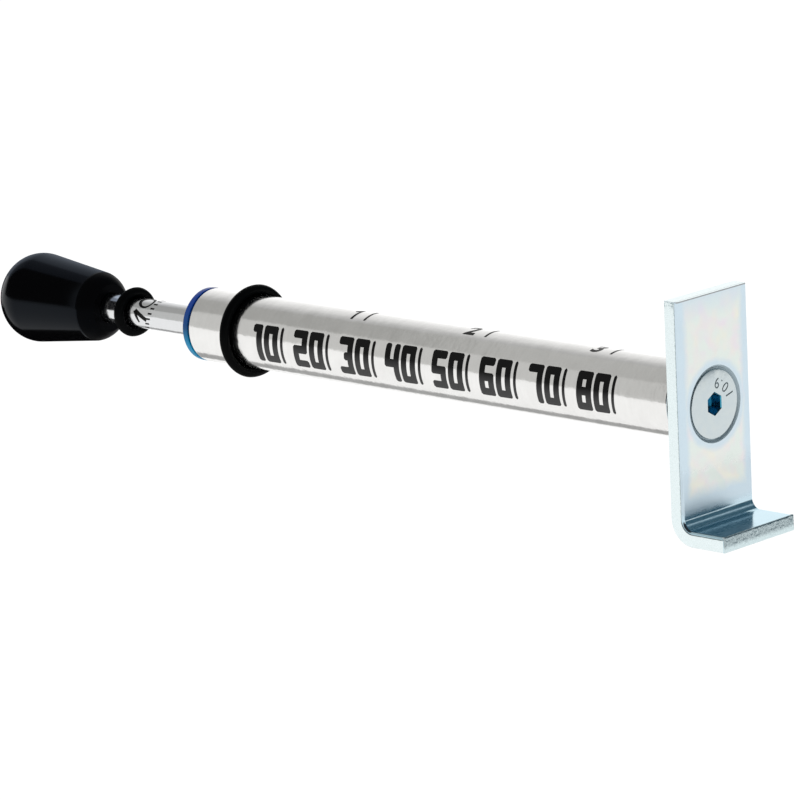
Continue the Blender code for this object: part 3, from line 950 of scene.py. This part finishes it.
def make_ring(name, body, node, carrier_radius, station, lean, rubber):
    """A rubber ring, a little askew, with the thin flash of its mould round its outside."""
    middle = carrier_radius + RING_RADIUS
    section = []
    for step in range(SECTION_SEGMENTS):
        angle = math.tau * step / SECTION_SEGMENTS
        near = max(0.0, 1 - abs(math.sin(angle)) * RING_RADIUS / RING_FLASH_WIDTH)
        radius = RING_RADIUS + (RING_FLASH * near if math.cos(angle) > 0 else 0.0)
        section.append((middle + radius * math.cos(angle), station + radius * math.sin(angle)))
    maker = turned(section)
    for vert in maker.verts:
        vert.co.z -= vert.co.y * lean
    piece = put(maker, name, [rubber], smooth=60.0)
    fasten(piece, body, "black_rubber", node)


def strip_section():
    """The strip's cross-section, as (across, depth): rolled edges in front, a crease beside."""
    side = STRIP_HALF_WIDTH
    outline = [(-side, 0.0), (side, 0.0)]
    for share in (-1, 0, 1):
        depth = CREASE_DEPTH + share * CREASE_WIDTH
        outline.append((side - (CREASE_WIDTH if share == 0 else 0.0), depth))
    outline += [(side, STRIP_THICKNESS), (-side, STRIP_THICKNESS)]
    for share in (1, 0, -1):
        depth = CREASE_DEPTH + share * CREASE_WIDTH
        outline.append((-side + (CREASE_WIDTH if share == 0 else 0.0), depth))
    return rounded(
        outline,
        {0: ROLLED_EDGE - 0.02, 1: ROLLED_EDGE - 0.02, 5: SHEARED_EDGE, 6: SHEARED_EDGE}, 5,
    )


def strip_stations():
    """Places down the strip's front face, each with the direction of its depth."""
    stations = []
    for share in (0.0, 0.5, 1.0):
        height = PLATE_TOP + (FOOT_TOP + BEND_RADIUS - PLATE_TOP) * share
        stations.append((Vector((0, 0, height)), Vector((-1, 0, 0))))
    middle = Vector((BEND_RADIUS, 0, FOOT_TOP + BEND_RADIUS))
    for step in range(1, BEND_SEGMENTS + 1):
        angle = math.pi + math.pi / 2 * step / BEND_SEGMENTS
        outward = Vector((math.cos(angle), 0, math.sin(angle)))
        stations.append((middle + outward * BEND_RADIUS, outward))
    stations.append((Vector((FOOT_END - BREAK_LENGTH, 0, FOOT_TOP)), Vector((0, 0, -1))))
    return stations


# The foot's end, where the strip was broken off
BREAK_LENGTH = 0.35
BREAK_STEP = 0.11
BREAK_SHARE = 0.6
BREAK_RELIEF = 0.1


def broken_end():
    """The rough end of the foot: a grid whose upper part is torn and lower part is smooth."""
    maker = bmesh.new()
    side = STRIP_HALF_WIDTH - 0.02
    low, high = FOOT_TOP - STRIP_THICKNESS + 0.02, FOOT_TOP - 0.01
    columns = round(2 * side / BREAK_STEP)
    rows = round((high - low) / BREAK_STEP)
    grid = []
    for row in range(rows + 1):
        line = []
        for column in range(columns + 1):
            y = -side + 2 * side * column / columns
            z = low + (high - low) * row / rows
            shape = Vector((y, z, 0.0))
            border = 1 - BREAK_SHARE + 0.12 * noise.noise(Vector((y * 0.9, 0.0, 7.0)))
            torn = min(1.0, max(0.0, ((z - low) / (high - low) - border) * 6))
            lumps = noise.noise(shape * 1.7) * 0.6 + noise.noise(shape * 4.3) * 0.55
            pits = min(0.0, noise.noise(shape * 6.1 + Vector((0, 0, 3.0)))) * 0.9
            inside = min(row, column, rows - row, columns - column)
            out = 0.02 + BREAK_RELIEF * torn * (lumps + pits - 0.25)
            if inside == 0:
                out = -0.12
            line.append(maker.verts.new((FOOT_END - 0.05 + out, y, z)))
        grid.append(line)
    for here, there in zip(grid, grid[1:]):
        for column in range(columns):
            maker.faces.new(
                (here[column], here[column + 1], there[column + 1], there[column])
            )
    rim = [edge for edge in maker.edges if edge.is_boundary]
    back = bmesh.ops.extrude_edge_only(maker, edges=rim)["geom"]
    back_verts = [item for item in back if isinstance(item, bmesh.types.BMVert)]
    bmesh.ops.translate(maker, vec=(-0.4, 0, 0), verts=back_verts)
    bmesh.ops.contextual_create(
        maker, geom=[edge for edge in maker.edges if edge.is_boundary]
    )
    return maker


def make_bracket(zinc, cut_zinc, torn_zinc, cone_zinc):
    maker = bmesh.new()
    section = strip_section()
    loops = []
    for place, depth_way in strip_stations():
        loops.append(
            [
                maker.verts.new(place + Vector((0, across, 0)) + depth_way * depth)
                for across, depth in section
            ]
        )
    count = len(section)
    for here, there in zip(loops, loops[1:]):
        for index in range(count):
            after = (index + 1) % count
            face = maker.faces.new((here[index], here[after], there[after], there[index]))
            middle = sum(abs(vert.co.y) for vert in face.verts) / 4
            cut_side = middle > STRIP_HALF_WIDTH - CREASE_WIDTH * 0.6
            depths = {section[index][1], section[after][1]}
            if cut_side and max(depths) - min(depths) > 0.03 and min(depths) >= ROLLED_EDGE - 0.03:
                face.material_index = 1
    for loop in (loops[0], loops[-1]):
        cap = maker.faces.new(loop)
        cap.material_index = 1
    rims = [edge for loop in (loops[0], loops[-1]) for edge in maker.edges
            if edge.verts[0] in loop and edge.verts[1] in loop]
    bmesh.ops.bevel(
        maker, geom=rims, offset=0.06, offset_type="OFFSET", segments=2, affect="EDGES",
        profile=0.5,
    )
    piece = put(maker, "bent_bracket", [zinc, cut_zinc, cone_zinc], on_axis=False)
    edge = COUNTERSINK_EDGE
    seat = HEAD_RADIUS + HEAD_RIM - HEAD_FACE + SEAT_CLEARANCE
    cone = [
        (0.0, CUTTER_TOP),
        (COUNTERSINK_RADIUS + edge, CUTTER_TOP),
        (COUNTERSINK_RADIUS + edge, 0.0),
        (COUNTERSINK_RADIUS - edge, -edge * 1.4),
        (COUNTERSINK_RADIUS - GROOVE_DEPTH, -GROOVE_DEPTH),
        (seat - GROOVE_DEPTH, -GROOVE_DEPTH),
        (seat - STRIP_THICKNESS, -STRIP_THICKNESS),
        (seat - STRIP_THICKNESS, CUTTER_FOOT),
        (0.0, CUTTER_FOOT),
    ]
    carve(piece, put(turned(rounded(cone, {})), "countersink", [cone_zinc]))
    soften_shading(piece)
    fasten(piece, "barrel", "zinc_plate", "hook_bracket")
    end = put(broken_end(), "broken_foot_end", [torn_zinc], on_axis=False, smooth=60.0)
    fasten(end, "barrel", "zinc_plate")


STAMP_DEPTH = 0.13
STAMP_HEIGHT = 1.7
STAMP_PLACES = (("1", 14.3, 4.5), ("0", 38.9, 4.2), (".", 60.2, 3.9), ("9", 77.3, 4.05))


def stamped_figure(figure, angle, base_radius, zinc):
    """The cutter for one figure of the head's strength number, its top to the middle."""
    mark = lettered(figure, STAMP_HEIGHT * (0.16 if figure == "." else 1.0))
    width = max(vert.co.x for vert in mark.verts)
    raise_print(mark, 1.0)
    move(mark, Matrix.Translation((-width / 2, -base_radius, 0)))
    move(mark, Matrix.Rotation(math.radians(angle + 90.0), 4, "Z"))
    to_head = Matrix(
        ((0, 0, 1, HEAD_FACE - STAMP_DEPTH), (1, 0, 0, 0), (0, 1, 0, AXIS_HEIGHT), (0, 0, 0, 1))
    )
    move(mark, to_head)
    return put(mark, "stamp", [zinc], on_axis=False)


def hex_cutter(blue_tint):
    """The cutter for the socket: six flats with a drilled cone under them and a broken edge."""
    maker = bmesh.new()
    corner = HEX_ACROSS_FLATS / math.sqrt(3)
    wide = corner + HEX_CHAMFER
    floor = HEAD_FACE - HEX_DEPTH
    rows = ((wide + 0.5, HEAD_FACE + 0.5), (wide, HEAD_FACE), (corner, HEAD_FACE - HEX_CHAMFER),
            (corner, floor))
    rings = []
    for reach, station in rows:
        ring = []
        for side in range(6):
            angle = math.radians(60.0 * side)
            ring.append(
                maker.verts.new((reach * math.cos(angle), reach * math.sin(angle), station))
            )
        rings.append(ring)
    for here, there in zip(rings, rings[1:]):
        for side in range(6):
            after = (side + 1) % 6
            maker.faces.new((here[side], here[after], there[after], there[side]))
    maker.faces.new(rings[0])
    tip = maker.verts.new((0, 0, floor - 0.45))
    for side in range(6):
        maker.faces.new((rings[-1][side], rings[-1][(side + 1) % 6], tip))
    return put(maker, "hex", [blue_tint])


def make_screw(zinc, blue_tint, dull_zinc):
    cone_foot = HEAD_FACE - HEAD_RIM - (HEAD_RADIUS - SCREW_RADIUS)
    outline = [
        (0.0, SCREW_TIP),
        (SCREW_RADIUS - SCREW_TIP_CHAMFER, SCREW_TIP),
        (SCREW_RADIUS, SCREW_TIP + SCREW_TIP_CHAMFER),
        (SCREW_RADIUS, cone_foot),
        (HEAD_RADIUS, HEAD_FACE - HEAD_RIM),
        (HEAD_RADIUS, HEAD_FACE),
        (0.0, HEAD_FACE),
    ]
    finishes = [zinc, blue_tint, dull_zinc]
    piece = put(turned(rounded(outline, {5: 0.1}, 3)), "countersunk_screw", finishes)
    carve(piece, hex_cutter(blue_tint))
    for figure, angle, base_radius in STAMP_PLACES:
        carve(piece, stamped_figure(figure, angle, base_radius, dull_zinc))
    soften_shading(piece)
    fasten(piece, "barrel", "zinc_screw", "bracket_screw")


def make_millimetre_scale(ink):
    maker = bmesh.new()
    for step in range(1, MILLIMETRE_STEPS + 1):
        station = MILLIMETRE_ZERO + MILLIMETRE_STEP * step
        half = MILLIMETRE_TICK_WIDTH / 2
        flat_box(maker, station - half, station + half, -BLOCK_HEIGHT / 2, BLOCK_HEIGHT / 2)
        block_number(maker, str(10 * step), station - half - MILLIMETRE_TICK_GAP, 0.0)
    raise_print(maker)
    chamfer_corners(maker, BLOCK_OUTER_CHAMFER, BLOCK_INNER_CHAMFER)
    slice_up(maker)
    wrap(maker, BARREL_RADIUS, MILLIMETRE_ANGLE, MILLIMETRE_DRIFT, MILLIMETRE_ZERO)
    fasten(put(maker, "millimetre_scale", [ink]), "barrel", "steel_tube")


def stroked_one():
    """The inch scale's first numeral: a stem with a flag."""
    maker = bmesh.new()
    stroke = INCH_ONE_STROKE
    stem = INCH_ONE_WIDTH - stroke / 2
    flat_box(maker, stem - stroke / 2, stem + stroke / 2, 0.0, INCH_NUMERAL_HEIGHT)
    flag = [(stem - stroke / 4, INCH_NUMERAL_HEIGHT - stroke / 2), (0.1, INCH_NUMERAL_HEIGHT * 0.7)]
    flat_strokes(maker, flag, (stroke, stroke))
    return maker


def make_inch_scale(ink):
    maker = bmesh.new()
    length = math.radians(INCH_TICK_ARC) * BARREL_RADIUS
    for step in range(1, INCH_STEPS + 1):
        station = INCH_ZERO + INCH_STEP * step
        half = INCH_TICK_WIDTH / 2
        flat_box(maker, station - half, station + half, 0.0, length)
        figure = stroked_one() if step == 1 else lettered(str(step), INCH_NUMERAL_HEIGHT, 0.03)
        width = max(vert.co.x for vert in figure.verts)
        left = station - half - INCH_NUMERAL_GAP - width
        move(figure, Matrix.Translation((left, 0, 0)))
        join(maker, figure)
    raise_print(maker)
    slice_up(maker)
    wrap(maker, BARREL_RADIUS, INCH_ANGLE, INCH_DRIFT, INCH_ZERO)
    fasten(put(maker, "inch_scale", [ink]), "barrel", "steel_tube")


def make_rod_mark(ink):
    """The force mark, a bold 10 whose tops point to the knob, and a row of dashes."""
    maker = bmesh.new()

    def flat(place):
        return place[0], -math.radians(place[1]) * ROD_RADIUS

    top = flat(ROD_ONE_TOP)
    flat_strokes(maker, [top, flat(ROD_ONE_FOOT)], (ROD_STROKE, ROD_STROKE))
    flat_strokes(maker, [top, flat(ROD_ONE_FLAG)], (ROD_STROKE, ROD_THIN_STROKE))
    middle = flat(ROD_NOUGHT_MIDDLE)
    nought = []
    widths = []
    for step in range(33):
        angle = math.tau * step / 32
        thick = (1 - math.cos(angle + math.pi / 4)) / 2
        width = ROD_THIN_STROKE + (ROD_STROKE - ROD_THIN_STROKE) * thick
        along = (ROD_NOUGHT_HALF_HEIGHT - width / 2) * math.cos(angle)
        across = (ROD_NOUGHT_HALF_WIDTH - width / 2) * math.sin(angle)
        nought.append((middle[0] + along, middle[1] + across))
        widths.append(width)
    flat_strokes(maker, nought, widths)
    for angle in ROD_DASH_ANGLES:
        station, climb = flat((ROD_DASH_STATION - ROD_DASH_SWING * angle * angle, angle))
        flat_box(
            maker, station - ROD_DASH_HEIGHT / 2, station + ROD_DASH_HEIGHT / 2,
            climb - ROD_DASH_WIDTH / 2, climb + ROD_DASH_WIDTH / 2,
        )
    raise_print(maker)
    slice_up(maker, 0.15)
    wrap(maker, ROD_RADIUS, 0.0)
    fasten(put(maker, "force_mark", [ink]), "plunger", "bright_steel")


def dress_cad(node, material):
    """Gives a CAD node its finish."""
    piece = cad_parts[node]
    for slot in piece.material_slots:
        slot.material = material
    if not piece.material_slots:
        piece.data.materials.append(material)


# Camera, lights and floor

SENSOR_WIDTH = 36.0
PHOTO_SIDE = 800
FOCAL_PIXELS = 5766.0
CAMERA_PLACE = Vector((0.54675, -0.65267, 0.21291))
CAMERA_BACK = Vector((0.66600, -0.71010, 0.22849)).normalized()
CAMERA_ROLL = math.radians(-2.66)
SKY = 1.15
FLOOR_HEIGHT = -0.12
TENT_RADIUS = 0.8
CARD_STEP = 4.0
CARD_SPLIT = -0.42
LEFT_BACK_FALL = ((0.0, 1.0), (0.56, 0.74), (0.83, 0.59), (1.0, 0.33))
KNOB_LIGHT_FALL = ((0.0, 0.2), (0.5, 0.6), (1.0, 1.0))
KNOB_SHADE_RADIUS = 0.02
KNOB_SHADE_LEFT = -0.22
KNOB_SHADE_RIGHT = -0.142


def make_camera():
    data = bpy.data.cameras.new("photo_camera")
    data.sensor_width = SENSOR_WIDTH
    data.lens = SENSOR_WIDTH * FOCAL_PIXELS / PHOTO_SIDE
    data.clip_start = 0.05
    data.clip_end = 50.0
    camera = bpy.data.objects.new("photo_camera", data)
    right = Vector((0, 0, 1)).cross(CAMERA_BACK).normalized()
    upward = CAMERA_BACK.cross(right)
    rolled_right = right * math.cos(CAMERA_ROLL) + upward * math.sin(CAMERA_ROLL)
    rolled_up = upward * math.cos(CAMERA_ROLL) - right * math.sin(CAMERA_ROLL)
    turn = Matrix((rolled_right, rolled_up, CAMERA_BACK)).transposed().to_4x4()
    camera.matrix_world = Matrix.Translation(CAMERA_PLACE) @ turn
    bpy.context.scene.collection.objects.link(camera)
    bpy.context.scene.camera = camera


def stage_piece(maker, name, material):
    mesh = bpy.data.meshes.new(name)
    maker.to_mesh(mesh)
    maker.free()
    mesh.materials.append(material)
    piece = bpy.data.objects.new(name, mesh)
    bpy.context.scene.collection.objects.link(piece)
    return piece


def only_reflected(piece):
    piece.visible_camera = False
    piece.visible_diffuse = False
    piece.visible_shadow = False
    piece.visible_transmission = False
    piece.visible_volume_scatter = False


def glow(name, even, stops=None, low=0.0, high=TENT_RADIUS):
    """A card's glow: an even colour, times the greys of the stops from a low to a high place."""
    card = Finish(name, Base_Color=grey(0.0), Roughness=1.0, Specular_IOR_Level=0.0)
    card.feed(Emission_Strength=1.0, Emission_Color=colour(*even))
    if stops:
        height = card.split(card.place())[2]
        share = card.limits(height, low / MM, high / MM)
        fall = card.ramp(share, [(place, grey(level)) for place, level in stops])
        card.feed(Emission_Color=card.blend(1.0, colour(*even), fall, "MULTIPLY"))
    card.material.cycles.emission_sampling = "NONE"
    return card.material


def make_card(name, first, last, left, right, material, radius=TENT_RADIUS, height=0.0):
    """A curved card round the gauge: angles from the front horizon over the top, ends along X."""
    maker = bmesh.new()
    steps = max(1, round((last - first) / CARD_STEP))
    rows = []
    for step in range(steps + 1):
        angle = math.radians(first + (last - first) * step / steps)
        y, z = -radius * math.cos(angle), height + radius * math.sin(angle)
        rows.append([maker.verts.new((x, y, z)) for x in (left, right)])
    for here, there in zip(rows, rows[1:]):
        maker.faces.new((here[0], here[1], there[1], there[0]))
    only_reflected(stage_piece(maker, name, material))


def make_studio():
    view = bpy.context.scene.view_settings
    view.view_transform = "Standard"
    view.look = "None"
    world = bpy.data.worlds.new("studio")
    bpy.context.scene.world = world
    world.use_nodes = True
    background = world.node_tree.nodes["Background"]
    background.inputs["Color"].default_value = grey(1.0)
    background.inputs["Strength"].default_value = SKY

    floor = bmesh.new()
    bmesh.ops.create_grid(floor, x_segments=1, y_segments=1, size=8.0)
    paint = Finish("floor_paint", Base_Color=grey(0.92), Roughness=0.9, Specular_IOR_Level=0.0)
    stage_piece(floor, "floor", paint.material).location = (0, 0, FLOOR_HEIGHT)

    split = CARD_SPLIT
    make_card("front_wall", -2, 51, -2.0, split, glow("front_wall", (0.63, 0.63, 0.62)))
    make_card("left_ceiling", 51, 100, -2.0, -0.72, glow("left_ceiling", (0.42, 0.42, 0.41)))
    make_card("near_ceiling", 51, 100, -0.72, split, glow("near_ceiling", (0.52, 0.52, 0.51)))
    bright = glow("left_back", (1.35, 1.35, 1.35), LEFT_BACK_FALL)
    make_card("left_back", 100, 190, -2.0, -0.2, bright)
    make_card("front_dark", -2, 100, split, 2.0, glow("front_dark", (0.03, 0.03, 0.035)))
    slate = glow("slate_back", (0.07, 0.13, 0.165))
    make_card("slate_back", 100, 184, -0.2, 2.0, slate)
    make_card("strip_light", 144, 149, 0.1, 1.1, glow("strip_light", (0.7, 0.74, 0.78)))
    black = glow("knob_shade", (0.004, 0.004, 0.005))
    axis = AXIS_HEIGHT * MM
    faint = glow("knob_light_top", (0.22, 0.25, 0.31))
    soft = glow("knob_light_back", (0.50, 0.57, 0.68), KNOB_LIGHT_FALL, axis, axis + KNOB_SHADE_RADIUS)
    for name, first, last, material in (
        ("knob_shade_above", 4, 72, black),
        ("knob_light_top", 72, 100, faint),
        ("knob_light_back", 100, 182, soft),
        ("knob_shade_below", 182, 296, black),
    ):
        make_card(
            name, first, last, KNOB_SHADE_LEFT, KNOB_SHADE_RIGHT, material, KNOB_SHADE_RADIUS, axis
        )
    shade = bmesh.new()
    corners = ((-1.2, 0.014), (0.0, 0.014), (0.0, 0.08), (-1.2, 0.08))
    shade.faces.new([shade.verts.new((x, y, -0.1)) for x, y in corners])
    only_reflected(stage_piece(shade, "under_shade", glow("under_shade", (0.4, 0.4, 0.4))))


make_camera()
make_studio()

steel = ground_steel()
plastic = black_plastic()
rubber = black_rubber()
zinc = zinc_plate()
# Scale ink with a painted floor reflection: lighter grey towards the underside.
ink = black_ink("scale_ink", 0.045)
rod_steel = ground_steel("rod_steel", (0.70, 0.71, 0.715), (0.78, 0.79, 0.80))
head_zinc = zinc_screw()
wire_steel = spring_steel()
brass = turned_brass()
washer_steel = turned_steel()

make_barrel(steel)
make_guide_bush(blue_nylon())
make_end_plug(plastic)
# Painted shade: the countersink round the head is darker than the plate.
cone_zinc = dull_zinc("countersunk_zinc", (0.26, 0.34, 0.38), (0.42, 0.50, 0.54))
make_bracket(zinc, sheared_zinc(), broken_zinc(), cone_zinc)
# Painted shade: the stamped figures' floors are darker than the head.
stamped_zinc = dull_zinc("stamped_zinc", (0.20, 0.25, 0.27), (0.34, 0.40, 0.42))
make_screw(head_zinc, blue_socket(), stamped_zinc)
make_rod(rod_steel)
make_knob(plastic, black_plastic("dull_black_plastic", 0.02, 0.3))
make_ring(
    "force_marker_ring", "force_marker", "force_ring", ROD_RADIUS, FORCE_RING_STATION,
    FORCE_RING_LEAN, rubber,
)
make_ring(
    "deflection_marker_ring", "deflection_marker", "deflection_ring", BARREL_RADIUS,
    DEFLECTION_RING_STATION, DEFLECTION_RING_LEAN, rubber,
)
make_millimetre_scale(ink)
make_inch_scale(ink)
make_rod_mark(black_ink("rod_ink"))
dress_cad("compression_spring", wire_steel)
dress_cad("retaining_clip", wire_steel)
dress_cad("spring_follower", brass)
dress_cad("knob_insert", brass)
dress_cad("seat_washer", washer_steel)
dress_cad("stop_washer", washer_steel)
